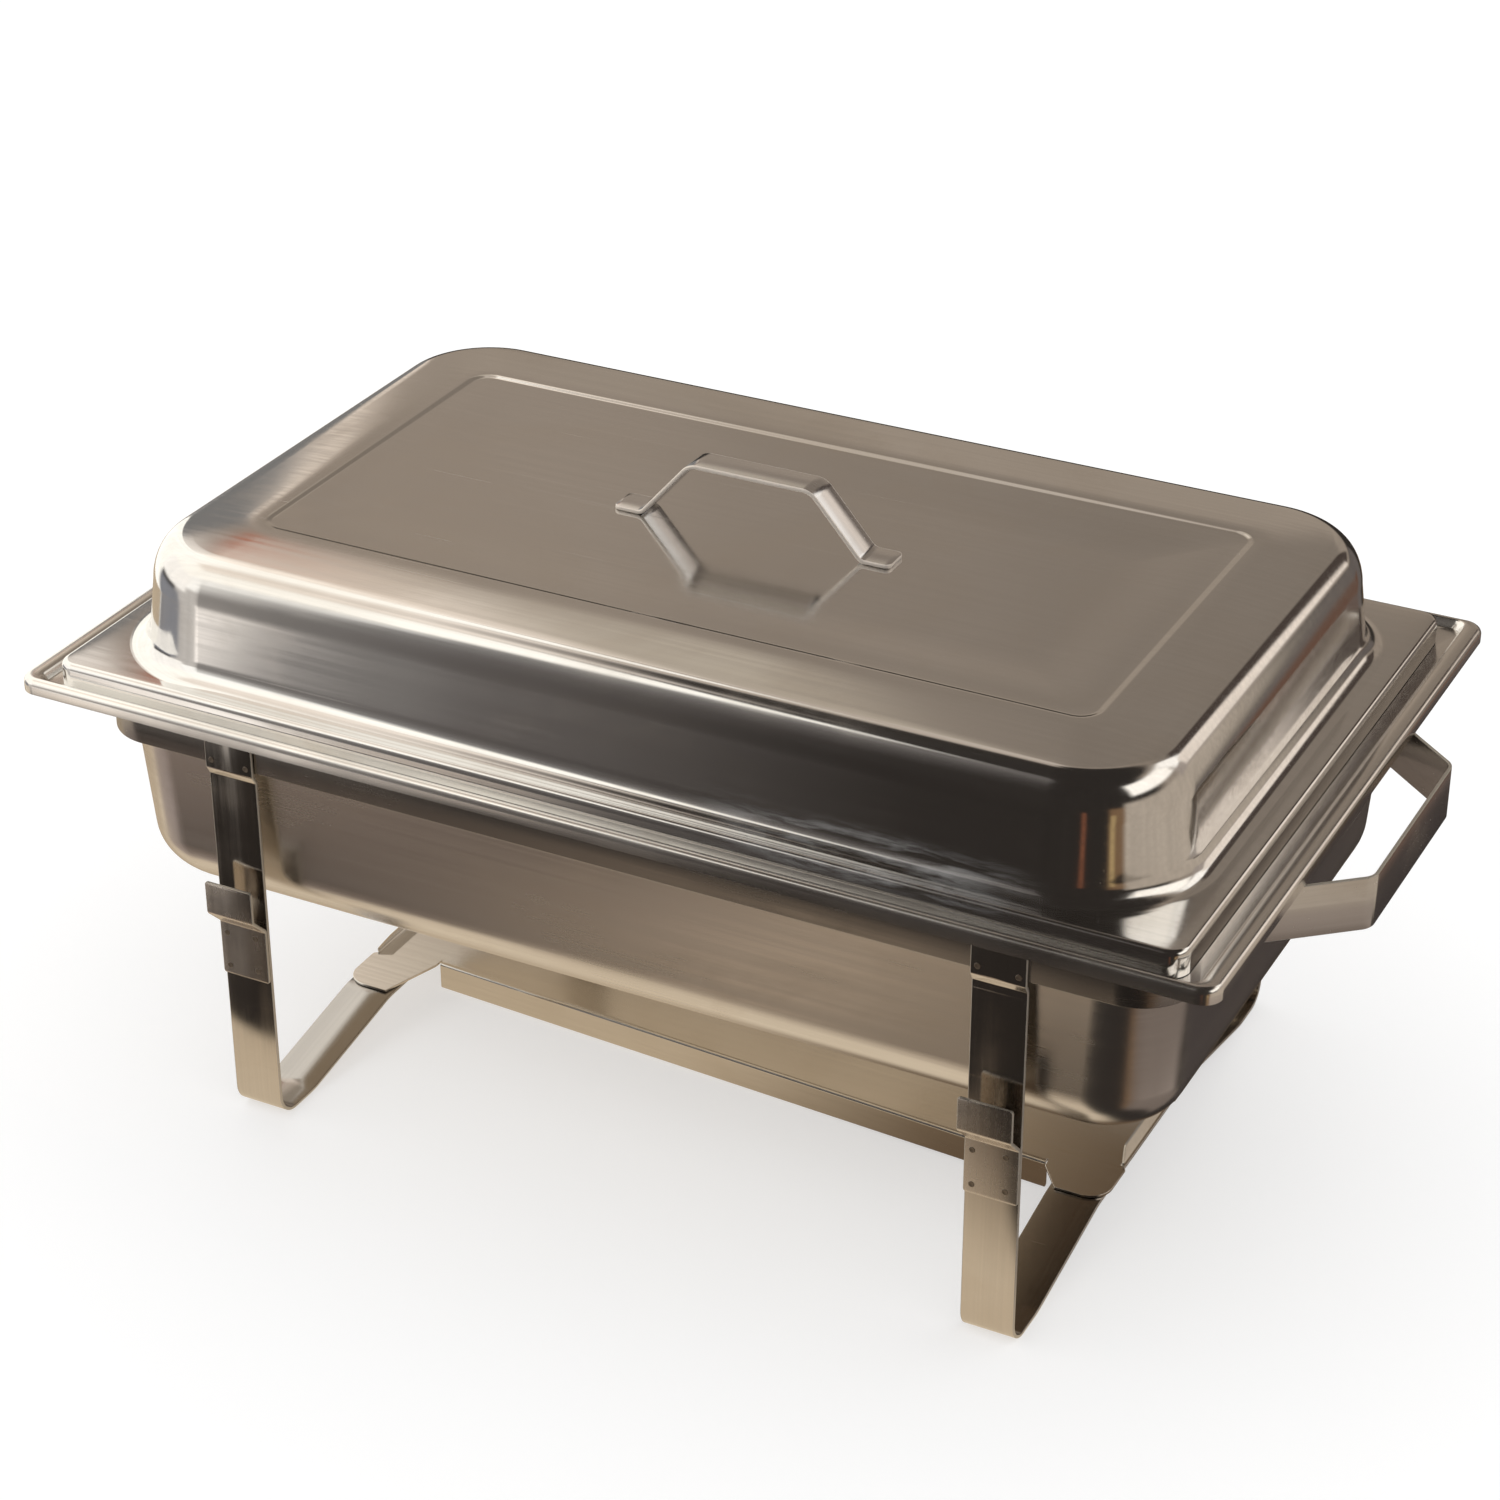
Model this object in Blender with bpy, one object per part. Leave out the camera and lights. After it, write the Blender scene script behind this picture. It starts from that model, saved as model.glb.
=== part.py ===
"""Full-size (GN 1/1) chafing dish food warmer: flat-strip stand, water pan, food pan and domed lid.

Units are metres, Z is up and -Y is the front. The origin is on the floor at the middle of the bounding box,
so the pan itself is centred ORIGIN_X to its left: its one side handle stands out at the right end.
"""

import math

import bmesh
import bpy
from mathutils import Vector

MM = 0.001
GAP = 0.3  # clearance left between separate pieces, mm
CORNER_STEPS = 8  # facets in each rounded plan corner
BEND_STEPS = 5  # facets in each bend of a strip

# Water pan (mm)
RIM_HX, RIM_HY, RIM_R = 285.0, 175.5, 9.0
RIM_BOTTOM, RIM_TOP = 212.0, 219.0
RIM_EDGE_R = 2.6
LIP_FOOT_X, LIP_FOOT_Y, LIP_SLOPE_X, LIP_SLOPE_Y = 9.0, 4.6, 2.2, 1.7  # raised lip, inwards from the rim's edge
LEDGE_Z = 215.2
SHEET = 0.8
WELL_HX, WELL_HY, WELL_R = 258.9, 150.4, 34.0
WELL_TAPER = 4.5
WELL_BOTTOM, WELL_FILLET, WELL_TURN = 107.0, 28.0, 1.6

# Food pan (mm): gastronorm 1/1 outline
GN_HX, GN_HY, GN_R = 265.0, 162.0, 8.0
GN_RIM_H, GN_EDGE_R = 5.0, 1.8
GN_WELL_HX, GN_WELL_HY, GN_WELL_R = 248.0, 141.0, 45.0
GN_Y = -4.5
GN_BOTTOM, GN_FILLET, GN_TAPER, GN_TURN = 155.0, 14.0, 4.0, 3.0

# Lid (mm)
LID_HX, LID_HY, LID_R = 268.5, 163.7, 9.0
LID_Y = -4.5
FLANGE_Z = 227.2
DOME_HX, DOME_HY, DOME_R = 249.8, 148.6, 50.0
DOME_Z, PANEL_Z = 281.0, 279.2
PANEL_HX, PANEL_HY, PANEL_R = 200.0, 95.5, 10.0
CROWN = 1.6  # fall of the border from the panel to the shoulder
SHOULDER_W, SHOULDER_H = 15.0, 21.0
DOME_LEAN, COVE_R, FLANGE_EDGE_R = 3.0, 11.0, 2.2

# Stand (mm)
STRIP_W, STRIP_T = 25.0, 1.6
BAND_HX, BAND_HY, BAND_R = 262.0, 153.8, 27.0
BAND_BOTTOM, GRIP_TOP = 186.7, 211.7
LEG_X, LEG_JOG = 186.4, 2.2
FOOT_RISE = 12.5
JOG_R, HEEL_R, FOOT_BEND_R = 1.6, 11.0, 40.0
FOOT_FLAT_Y, FOOT_RAISED_Y = 126.0, 58.0
BAND_TOP = LEDGE_Z - SHEET - GAP

# Hooks on the legs (mm)
HOOK_T, HOOK_BOTTOM, HOOK_BEND, HOOK_LIP, HOOK_TOP, HOOK_REACH = 1.5, 76.5, 104.5, 113.5, 129.5, 9.0

# Shelf (mm)
SHELF_T = 1.2
SHELF_HX, SHELF_HY, TAB_HY = 200.6, 33.0, 57.5
SHELF_SKEW = math.tan(math.radians(3.0))
TAB_START, TAB_SPREAD = 8.0, 11.0  # where a tab starts to widen, inside the leg, and over what length
SHELF_BEND, SHELF_FLANGE, SHELF_HEM = 2.4, 13.5, 8.0
TAB_R = 11.0
LIP_HY, LIP_LEAN, LIP_RISE, LIP_TAPER = 29.0, 3.8, 6.5, 8.0

# Lid handle (mm)
KNOB_W, KNOB_T = 16.0, 2.0
KNOB_HX, KNOB_FOOT_HX, KNOB_TOP_HX, KNOB_H = 68.5, 54.5, 30.0, 30.0

# Side handle (mm)
GRIP_X, GRIP_HY, GRIP_FOOT_HY, GRIP_TAB = 308.5, 52.0, 90.0, 16.0

# Middle of the bounding box in X, measured from the middle of the pan (mm)
ORIGIN_X = (GRIP_X - RIM_HX) / 2

# Looks: base colour and roughness of the stainless steel
STAND_LOOK = ((0.40, 0.37, 0.33), 0.28)
HANDLE_LOOK = ((0.46, 0.42, 0.38), 0.30)
WATER_PAN_LOOK = ((0.52, 0.49, 0.45), 0.32)
FOOD_PAN_LOOK = ((0.62, 0.60, 0.57), 0.25)
LID_LOOK = ((0.58, 0.55, 0.51), 0.20)


def clear_scene():
    for obj in list(bpy.data.objects):
        bpy.data.objects.remove(obj, do_unlink=True)
    for block in (bpy.data.meshes, bpy.data.materials):
        for item in list(block):
            block.remove(item)


def steel(name, colour, roughness):
    """Stainless steel of the given colour and roughness."""
    mat = bpy.data.materials.new(name)
    mat.use_nodes = True
    shader = mat.node_tree.nodes["Principled BSDF"]
    shader.inputs["Base Color"].default_value = (*colour, 1.0)
    shader.inputs["Roughness"].default_value = roughness
    shader.inputs["Metallic"].default_value = 1.0
    mat.diffuse_color = (*colour, 1.0)
    return mat


def finish(bm, name, look, origin=(0.0, 0.0, 0.0)):
    """Turns a bmesh in millimetres into a named object whose origin is at `origin` (mm, pan-centred)."""
    bmesh.ops.recalc_face_normals(bm, faces=bm.faces[:])
    shift = Vector(origin)
    for vert in bm.verts:
        vert.co = (vert.co - shift) * MM
    mesh = bpy.data.meshes.new(name)
    bm.to_mesh(mesh)
    bm.free()
    mesh.shade_smooth()
    mesh.set_sharp_from_angle(angle=math.radians(35))
    obj = bpy.data.objects.new(name, mesh)
    obj.location = (shift - Vector((ORIGIN_X, 0.0, 0.0))) * MM
    bpy.context.scene.collection.objects.link(obj)
    mesh.materials.append(steel(name + "_steel", *look))
    return obj


def rounded_rectangle(hx, hy, r, steps=CORNER_STEPS):
    """Plan outline, anticlockwise from the +X side of the front right corner."""
    r = max(min(r, hx - 0.01, hy - 0.01), 0.01)
    points = []
    for cx, cy, start in ((hx - r, hy - r, 0), (r - hx, hy - r, 90), (r - hx, r - hy, 180), (hx - r, r - hy, 270)):
        for i in range(steps + 1):
            a = math.radians(start + 90.0 * i / steps)
            points.append((cx + r * math.cos(a), cy + r * math.sin(a)))
    return points


def lofted(rings, y):
    """Closed body through rings (hx, hy, r, z) centred on y, capped at the first and the last."""
    bm = bmesh.new()
    loops = []
    for hx, hy, r, z in rings:
        loops.append([bm.verts.new((px, y + py, z)) for px, py in rounded_rectangle(hx, hy, r)])
    for lower, upper in zip(loops, loops[1:]):
        count = len(lower)
        for i in range(count):
            j = (i + 1) % count
            bm.faces.new((lower[i], lower[j], upper[j], upper[i]))
    bm.faces.new(loops[0][::-1])
    bm.faces.new(loops[-1])
    return bm


def pressed_sheet(profile, thickness, y=0.0):
    """Closed body of a pressed sheet.

    The profile holds (hx, hy, r, z) of the outer side, from its flat middle to its free edge. The inner side
    is the same profile moved by the sheet thickness, towards the inside of the well or dome.
    """
    inner = []
    last = len(profile) - 1
    for i, (hx, hy, r, z) in enumerate(profile):
        normals = []
        for a, b in ((max(i - 1, 0), max(i, 1)), (min(i, last - 1), min(i + 1, last))):
            across = 0.5 * (profile[b][0] - profile[a][0] + profile[b][1] - profile[a][1])
            rise = profile[b][3] - profile[a][3]
            length = math.hypot(across, rise)
            normals.append((-rise / length, across / length))
        nu, nz = normals[0][0] + normals[1][0], normals[0][1] + normals[1][1]
        size = math.hypot(nu, nz)
        nu, nz = nu / size, nz / size
        reach = thickness / max(nu * normals[0][0] + nz * normals[0][1], 0.5)
        inner.append((hx + nu * reach, hy + nu * reach, max(r + nu * reach, 0.8), z + nz * reach))
    return lofted(list(profile) + inner[::-1], y)


def arc(cu, cv, radius, start, end, steps):
    """Offsets (u, v) on an arc in a profile plane, angles in degrees."""
    result = []
    for i in range(steps + 1):
        a = math.radians(start + (end - start) * i / steps)
        result.append((cu + radius * math.cos(a), cv + radius * math.sin(a)))
    return result


def bent_path(corners):
    """Polyline with rounded bends. Each corner is (u, v, bend radius)."""
    points = [Vector(corners[0][:2])]
    for (u0, v0, _), (u, v, r), (u1, v1, _) in zip(corners, corners[1:], corners[2:]):
        p, a, b = Vector((u, v)), Vector((u0, v0)), Vector((u1, v1))
        da, db = (a - p).normalized(), (b - p).normalized()
        half = da.angle(db) / 2
        cut = r / math.tan(half)
        start, end = p + da * cut, p + db * cut
        centre = p + (da + db).normalized() * (r / math.sin(half))
        s, e = start - centre, end - centre
        turn = s.angle_signed(e)
        for i in range(BEND_STEPS + 1):
            t = turn * i / BEND_STEPS
            c, w = math.cos(-t), math.sin(-t)
            points.append(centre + Vector((s.x * c - s.y * w, s.x * w + s.y * c)))
    points.append(Vector(corners[-1][:2]))
    return points


def strip_body(path, thickness, lo, hi, place):
    """Flat strip bent along a centre path; it runs from lo to hi across the path."""
    left, right = [], []
    for i, p in enumerate(path):
        before = (p - path[i - 1]).normalized() if i else (path[1] - p).normalized()
        after = (path[i + 1] - p).normalized() if i + 1 < len(path) else before
        normal = Vector((-(before + after).y, (before + after).x)).normalized()
        reach = thickness / 2 / max(normal.dot(Vector((-after.y, after.x))), 0.3)
        left.append(p + normal * reach)
        right.append(p - normal * reach)
    bm = bmesh.new()
    rows = [[bm.verts.new(place(q.x, q.y, w)) for q, w in ((a, lo), (a, hi), (b, hi), (b, lo))]
            for a, b in zip(left, right)]
    for r0, r1 in zip(rows, rows[1:]):
        for i in range(4):
            j = (i + 1) % 4
            bm.faces.new((r0[i], r0[j], r1[j], r1[i]))
    bm.faces.new(rows[0])
    bm.faces.new(rows[-1][::-1])
    return bm


def frame_band(look):
    """Rectangular ring of strip that the pan rim rests on."""
    t = STRIP_T
    outer = (BAND_HX, BAND_HY, BAND_R)
    inner = (BAND_HX - t, BAND_HY - t, BAND_R - t)
    top = BAND_TOP
    bm = bmesh.new()
    loops = [[bm.verts.new((x, y, z)) for x, y in rounded_rectangle(*size)]
             for size, z in ((outer, BAND_BOTTOM), (outer, top), (inner, top), (inner, BAND_BOTTOM))]
    count = len(loops[0])
    for k in range(4):
        a, b = loops[k], loops[(k + 1) % 4]
        for i in range(count):
            j = (i + 1) % count
            bm.faces.new((a[i], a[j], b[j], b[i]))
    return finish(bm, "frame_band", look)


def leg_path():
    """Centre path of one leg strip in the YZ plane: front leg, foot bar raised in the middle, rear leg."""
    upper_y = BAND_HY + GAP + STRIP_T / 2
    lower_y = upper_y - LEG_JOG
    z0 = STRIP_T / 2
    half = [(-upper_y, BAND_TOP - 0.7, 0), (-upper_y, BAND_BOTTOM - 1.4, JOG_R),
            (-lower_y, BAND_BOTTOM - 5.2, JOG_R), (-lower_y, z0, HEEL_R), (-FOOT_FLAT_Y, z0, FOOT_BEND_R),
            (-FOOT_RAISED_Y, z0 + FOOT_RISE, FOOT_BEND_R)]
    return bent_path(half + [(-y, z, r) for y, z, r in reversed(half)])


def leg_frame(name, x, look):
    bm = strip_body(leg_path(), STRIP_T, x - STRIP_W / 2, x + STRIP_W / 2, lambda u, v, w: (w, u, v))
    return finish(bm, name, look)


def leg_hook(name, x, side, look):
    """Hook on the outer face of a leg: flat plate, slanted ledge and upright lip."""
    face = BAND_HY + GAP + STRIP_T - LEG_JOG
    y0 = face + GAP + HOOK_T / 2
    y1 = y0 + HOOK_REACH
    corners = [(y0, HOOK_BOTTOM, 0), (y0, HOOK_BEND, 2.0), (y1, HOOK_LIP, 2.0), (y1, HOOK_TOP, 0)]
    bm = strip_body(bent_path(corners), HOOK_T, x - STRIP_W / 2, x + STRIP_W / 2,
                    lambda u, v, w: (w, side * u, v))
    return finish(bm, name, look)


def side_handle(name, side, look):
    """Trapezoid grip of strip standing out from the short side of the band."""
    x0 = BAND_HX + GAP + STRIP_T / 2
    x1 = GRIP_X - STRIP_T / 2
    half = [(x0, -GRIP_FOOT_HY - GRIP_TAB, 0), (x0, -GRIP_FOOT_HY, 4.0), (x1, -GRIP_HY, 8.0)]
    corners = half + [(x, -y, r) for x, y, r in reversed(half)]
    bm = strip_body(bent_path(corners), STRIP_T, BAND_BOTTOM, GRIP_TOP, lambda u, v, w: (side * u, v, w))
    return finish(bm, name, look)


def lid_handle(look):
    """Trapezoid grip of flat strip, its two feet lying on the lid panel."""
    z0 = PANEL_Z + GAP + KNOB_T / 2
    half = [(-KNOB_HX, z0, 0), (-KNOB_FOOT_HX, z0, 3.0), (-KNOB_TOP_HX, z0 + KNOB_H - KNOB_T, 6.0)]
    corners = half + [(-x, z, r) for x, z, r in reversed(half)]
    bm = strip_body(bent_path(corners), KNOB_T, LID_Y - KNOB_W / 2, LID_Y + KNOB_W / 2, lambda u, v, w: (u, w, v))
    return finish(bm, "lid_handle", look, origin=(0.0, LID_Y, PANEL_Z))


def fold(bm, first, steps, taper=0.0):
    """Continues a plate edge through the given steps and closes the end.

    `first` is the edge quad (upper start, upper end, lower end, lower start). Each step is a pair of offsets
    from the first quad, for the upper and the lower side. The free edge is shorter by `taper` at each end.
    """
    base = [v.co.copy() for v in first]
    along = (base[1] - base[0]).normalized()
    rows = [first]
    for i, (up, down) in enumerate(steps):
        cut = along * (taper if i + 1 == len(steps) else 0.0)
        rows.append([bm.verts.new(base[0] + up + cut), bm.verts.new(base[1] + up - cut),
                     bm.verts.new(base[2] + down - cut), bm.verts.new(base[3] + down + cut)])
    for r0, r1 in zip(rows, rows[1:]):
        for i in range(4):
            j = (i + 1) % 4
            bm.faces.new((r0[i], r0[j], r1[j], r1[i]))
    bm.faces.new(rows[-1])


def fold_steps(direction, t, corners):
    """Steps for fold(): a strip path in (outward, up) coordinates measured from the middle of the edge."""
    path = bent_path([(-1.0, 0.0, 0)] + corners)[1:]
    steps = []
    for i, p in enumerate(path):
        before = (p - (path[i - 1] if i else Vector((-1.0, 0.0)))).normalized()
        after = (path[i + 1] - p).normalized() if i + 1 < len(path) else before
        normal = Vector((-(before + after).y, (before + after).x)).normalized()
        reach = t / 2 / max(normal.dot(Vector((-after.y, after.x))), 0.3)
        pair = []
        for sign, rest in ((1, t / 2), (-1, -t / 2)):
            q = p + normal * reach * sign
            pair.append(Vector((direction[0] * q.x, direction[1] * q.x, q.y - rest)))
        steps.append(pair)
    return steps


def shelf_corner(sx, sy):
    """Outline of one corner of the shelf plate, from its folded long edge to its end lip."""
    end = SHELF_HX
    inner = LEG_X - STRIP_W / 2 - TAB_START
    edge = sy * (SHELF_HY - SHELF_BEND) - SHELF_SKEW * sx * inner
    points = [(sx * inner, edge), (sx * (inner + 0.5), edge - sy * 0.5), (sx * (inner + 1.0), edge + sy * 5.0),
              (sx * (inner + TAB_SPREAD), sy * TAB_HY)]
    points += [(sx * x, sy * y) for x, y in arc(end - TAB_R, TAB_HY - TAB_R, TAB_R, 90, 0, 5)]
    return points + [(sx * end, sy * (LIP_HY + 2.0)), (sx * (end - SHELF_BEND), sy * LIP_HY)]


def shelf(look):
    """Plate across the two foot bars. Its long edges are folded down and hemmed, slightly askew to the plate.

    The end tabs lie on the bars and carry an upturned lip.
    """
    t = SHELF_T
    z0 = STRIP_T + FOOT_RISE + GAP
    right, left = shelf_corner(1, 1), shelf_corner(-1, -1)
    outline = right + shelf_corner(1, -1)[::-1] + left + shelf_corner(-1, 1)[::-1]
    count, part = len(outline), len(right)
    bm = bmesh.new()
    lower = [bm.verts.new((x, y, z0)) for x, y in outline]
    upper = [bm.verts.new((x, y, z0 + t)) for x, y in outline]
    start = SHELF_BEND - t / 2
    hem = start - t - GAP
    flange = [(start, 0.0, 1.5), (start, -SHELF_FLANGE, 0.72), (hem, -SHELF_FLANGE, 0.72),
              (hem, -SHELF_FLANGE + SHELF_HEM, 0)]
    lip = [(start, 0.0, 1.6), (start - LIP_LEAN, LIP_RISE, 0)]
    folds = {part - 1: (lip, LIP_TAPER), 2 * part - 1: (flange, 0.0),
             3 * part - 1: (lip, LIP_TAPER), 4 * part - 1: (flange, 0.0)}
    for i in range(count):
        j = (i + 1) % count
        quad = [upper[i], upper[j], lower[j], lower[i]]
        if i in folds:
            along = (Vector(outline[j]) - Vector(outline[i])).normalized()
            corners, taper = folds[i]
            fold(bm, quad, fold_steps((-along.y, along.x), t, corners), taper)
        else:
            bm.faces.new(quad)
    bm.faces.new(lower[::-1])
    bm.faces.new(upper)
    bmesh.ops.triangulate(bm, faces=[f for f in bm.faces if len(f.verts) > 4])
    return finish(bm, "burner_shelf", look)


def well(hx, hy, r, top, bottom, fillet, taper):
    """Outer profile of a pressed well, from its flat bottom to the top of its wall."""
    low_x, low_y = hx - taper, hy - taper
    points = []
    for u, v in arc(-fillet, bottom + fillet, fillet, 270, 356, 6):
        points.append((low_x + u, low_y + u, r + u * 0.6, v))
    points.append((hx, hy, r, top))
    return points


def water_pan(look):
    """Deep pan whose wide ledge ends in a raised lip with a turned-down edge."""
    z = LEDGE_Z - SHEET
    turn, edge = WELL_TURN, RIM_EDGE_R
    profile = well(WELL_HX, WELL_HY, WELL_R, z - turn, WELL_BOTTOM, WELL_FILLET, WELL_TAPER)
    profile += [(WELL_HX + turn * 0.3, WELL_HY + turn * 0.3, WELL_R, z - turn * 0.3),
                (WELL_HX + turn, WELL_HY + turn, WELL_R - 2, z)]
    lip = RIM_TOP - SHEET
    x0, y0 = RIM_HX - SHEET, RIM_HY - SHEET
    profile += [(x0 - LIP_FOOT_X, y0 - LIP_FOOT_Y, RIM_R - 4.0, z),
                (x0 - LIP_FOOT_X + LIP_SLOPE_X, y0 - LIP_FOOT_Y + LIP_SLOPE_Y, RIM_R - 3.0, lip)]
    for u, v in arc(-edge, lip - edge, edge, 90, 0, 4):
        profile.append((x0 + u, y0 + u, RIM_R - SHEET + u, v))
    profile.append((x0, y0, RIM_R - SHEET, RIM_BOTTOM))
    return finish(pressed_sheet(profile, SHEET), "water_pan", look)


def food_pan(look):
    """Gastronorm 1/1 pan hanging by its rim on the water pan ledge."""
    top = LEDGE_Z + GAP + GN_RIM_H
    z = top - SHEET
    turn, edge = GN_TURN, GN_EDGE_R
    profile = well(GN_WELL_HX, GN_WELL_HY, GN_WELL_R, z - turn, GN_BOTTOM, GN_FILLET, GN_TAPER)
    profile += [(GN_WELL_HX + turn * 0.3, GN_WELL_HY + turn * 0.3, GN_WELL_R - 1.0, z - turn * 0.3),
                (GN_WELL_HX + turn, GN_WELL_HY + turn, GN_WELL_R - turn, z)]
    x0, y0 = GN_HX - SHEET, GN_HY - SHEET
    for u, v in arc(-edge, z - edge, edge, 90, 0, 3):
        profile.append((x0 + u, y0 + u, GN_R - SHEET + u, v))
    profile.append((x0, y0, GN_R - SHEET, LEDGE_Z + GAP))
    return finish(pressed_sheet(profile, SHEET, GN_Y), "food_pan", look)


def lid_shell(look):
    """Domed lid: recessed panel, crowned border, wall, flat flange and turned-down skirt."""
    base = LEDGE_Z + GAP
    t = SHEET
    step = DOME_Z - PANEL_Z
    profile = [(PANEL_HX + out, PANEL_HY + out, PANEL_R + out, PANEL_Z - t + rise * step)
               for out, rise in ((-1.0, 0.0), (0.0, 0.3), (1.6, 0.9), (4.0, 1.0))]
    x0, y0, r0 = DOME_HX - DOME_LEAN - t, DOME_HY - DOME_LEAN - t, DOME_R - DOME_LEAN - t
    stretch = SHOULDER_H / SHOULDER_W
    for u, v in arc(-SHOULDER_W, -SHOULDER_W, SHOULDER_W, 84, 6, 8):
        profile.append((x0 + u, y0 + u, max(r0 + u * 0.9, PANEL_R + 6.0), DOME_Z - t - CROWN + v * stretch))
    x0, y0, r0 = DOME_HX - t, DOME_HY - t, DOME_R - t
    for u, v in arc(COVE_R, FLANGE_Z - t + COVE_R, COVE_R, 184, 270, 5):
        profile.append((x0 + u, y0 + u, r0 + u, v))
    x0, y0, r0, edge = LID_HX - t, LID_HY - t, LID_R - t, FLANGE_EDGE_R
    for u, v in arc(-edge, FLANGE_Z - t - edge, edge, 90, 0, 4):
        profile.append((x0 + u, y0 + u, r0 + u, v))
    profile.append((x0, y0, r0, base))
    return finish(pressed_sheet(profile, t, LID_Y), "lid_shell", look)


def build():
    clear_scene()
    frame_band(STAND_LOOK)
    for name, x in (("leg_frame_left", -LEG_X), ("leg_frame_right", LEG_X)):
        leg_frame(name, x, STAND_LOOK)
    for side, depth in ((-1, "front"), (1, "rear")):
        for x, across in ((-LEG_X, "left"), (LEG_X, "right")):
            leg_hook(f"leg_hook_{depth}_{across}", x, side, STAND_LOOK)
    side_handle("side_handle", 1, HANDLE_LOOK)
    shelf(STAND_LOOK)
    water_pan(WATER_PAN_LOOK)
    food_pan(FOOD_PAN_LOOK)
    lid_shell(LID_LOOK)
    lid_handle(HANDLE_LOOK)


build()
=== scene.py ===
"""Looks of a full-size chafing dish: strip stand, water pan, food pan and domed lid, all in stainless steel.

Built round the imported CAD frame. Places are in metres with Z up and -Y the front; shapes are drawn in
millimetres from the boxes of the CAD nodes and scaled by MM.
"""

import math

import bmesh
import bpy
from mathutils import Matrix, Vector


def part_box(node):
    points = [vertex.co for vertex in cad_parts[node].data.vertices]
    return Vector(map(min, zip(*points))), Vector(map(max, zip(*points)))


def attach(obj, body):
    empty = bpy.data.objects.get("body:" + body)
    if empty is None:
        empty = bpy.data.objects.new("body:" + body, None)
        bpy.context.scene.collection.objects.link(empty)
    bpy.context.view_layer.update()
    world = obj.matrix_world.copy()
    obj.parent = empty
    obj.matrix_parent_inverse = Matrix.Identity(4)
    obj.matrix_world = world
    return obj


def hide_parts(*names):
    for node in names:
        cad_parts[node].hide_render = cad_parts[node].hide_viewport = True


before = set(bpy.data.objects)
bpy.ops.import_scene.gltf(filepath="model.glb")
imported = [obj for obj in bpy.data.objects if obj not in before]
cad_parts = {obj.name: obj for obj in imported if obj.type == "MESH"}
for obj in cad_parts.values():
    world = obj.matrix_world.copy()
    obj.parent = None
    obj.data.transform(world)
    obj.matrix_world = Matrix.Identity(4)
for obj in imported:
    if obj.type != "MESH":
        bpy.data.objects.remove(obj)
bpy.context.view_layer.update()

MM = 0.001
CORNER_STEPS = 22  # facets in each rounded plan corner
BEND_STEPS = 14  # facets in each bend of a strip
EDGE_STEPS = 3  # facets in the rounded long edge of a strip
TIP_STEPS = 5  # facets in each rounded corner at the end of a strip
CLEARANCE = 0.3  # between pieces that touch
BLUNTEST = 0.3  # least cosine allowed at a mitred bend of a strip


# ---------------------------------------------------------------- places taken from the CAD boxes, in mm

def box_mm(node):
    """Lowest and highest corner of a CAD node, in mm."""
    lo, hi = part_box(node)
    return Vector(lo) / MM, Vector(hi) / MM


PAN_LO, PAN_HI = box_mm("water_pan")
FOOD_LO, FOOD_HI = box_mm("food_pan")
LID_LO, LID_HI = box_mm("lid_shell")
KNOB_LO, KNOB_HI = box_mm("lid_handle")
BAND_LO, BAND_HI = box_mm("frame_band")
LEG_LO, LEG_HI = box_mm("leg_frame_right")
GRIP_LO, GRIP_HI = box_mm("side_handle")
SHELF_LO, SHELF_HI = box_mm("burner_shelf")

PAN_X = (PAN_LO.x + PAN_HI.x) / 2  # middle of the pans, the lid and the band
LID_Y = (LID_LO.y + LID_HI.y) / 2
SHEET = 0.8  # thickness of the pans and the lid
STRIP_T = 1.6  # thickness of the band, the legs and the side handle
LEDGE_Z = LID_LO.z - CLEARANCE  # top of the ledge that the lid and the food pan stand on


# ---------------------------------------------------------------- mesh helpers


def mesh_object(bm, name, material, body, node, angle=32.0):
    """Turns a bmesh in millimetres into a piece that rides on `body` and stands for the CAD node.

    `material` is one material, or a tuple of them in the order of the faces' material indices.
    """
    bmesh.ops.recalc_face_normals(bm, faces=bm.faces[:])
    bmesh.ops.scale(bm, vec=(MM, MM, MM), verts=bm.verts[:])
    mesh = bpy.data.meshes.new(name)
    bm.to_mesh(mesh)
    bm.free()
    mesh.shade_smooth()
    mesh.set_sharp_from_angle(angle=math.radians(angle))
    for each in material if isinstance(material, tuple) else (material,):
        mesh.materials.append(each)
    obj = bpy.data.objects.new(name, mesh)
    bpy.context.scene.collection.objects.link(obj)
    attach(obj, body)
    if node:
        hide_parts(node)
    return obj


def plan(hx, hy, r, cx=0.0, cy=0.0):
    """Rounded rectangle, anticlockwise, centred on (cx, cy)."""
    r = max(min(r, hx - 0.01, hy - 0.01), 0.01)
    points = []
    corners = ((hx - r, hy - r, 0), (r - hx, hy - r, 90), (r - hx, r - hy, 180), (hx - r, r - hy, 270))
    for x, y, start in corners:
        for i in range(CORNER_STEPS + 1):
            a = math.radians(start + 90.0 * i / CORNER_STEPS)
            points.append((cx + x + r * math.cos(a), cy + y + r * math.sin(a)))
    return points


def lofted(rings, cx, cy):
    """Closed body through rings (hx, hy, r, z), capped at the first and the last."""
    bm = bmesh.new()
    loops = [[bm.verts.new((x, y, z)) for x, y in plan(hx, hy, r, cx, cy)] for hx, hy, r, z in rings]
    for lower, upper in zip(loops, loops[1:]):
        count = len(lower)
        for i in range(count):
            j = (i + 1) % count
            bm.faces.new((lower[i], lower[j], upper[j], upper[i]))
    bm.faces.new(loops[0][::-1])
    bm.faces.new(loops[-1])
    return bm


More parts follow.
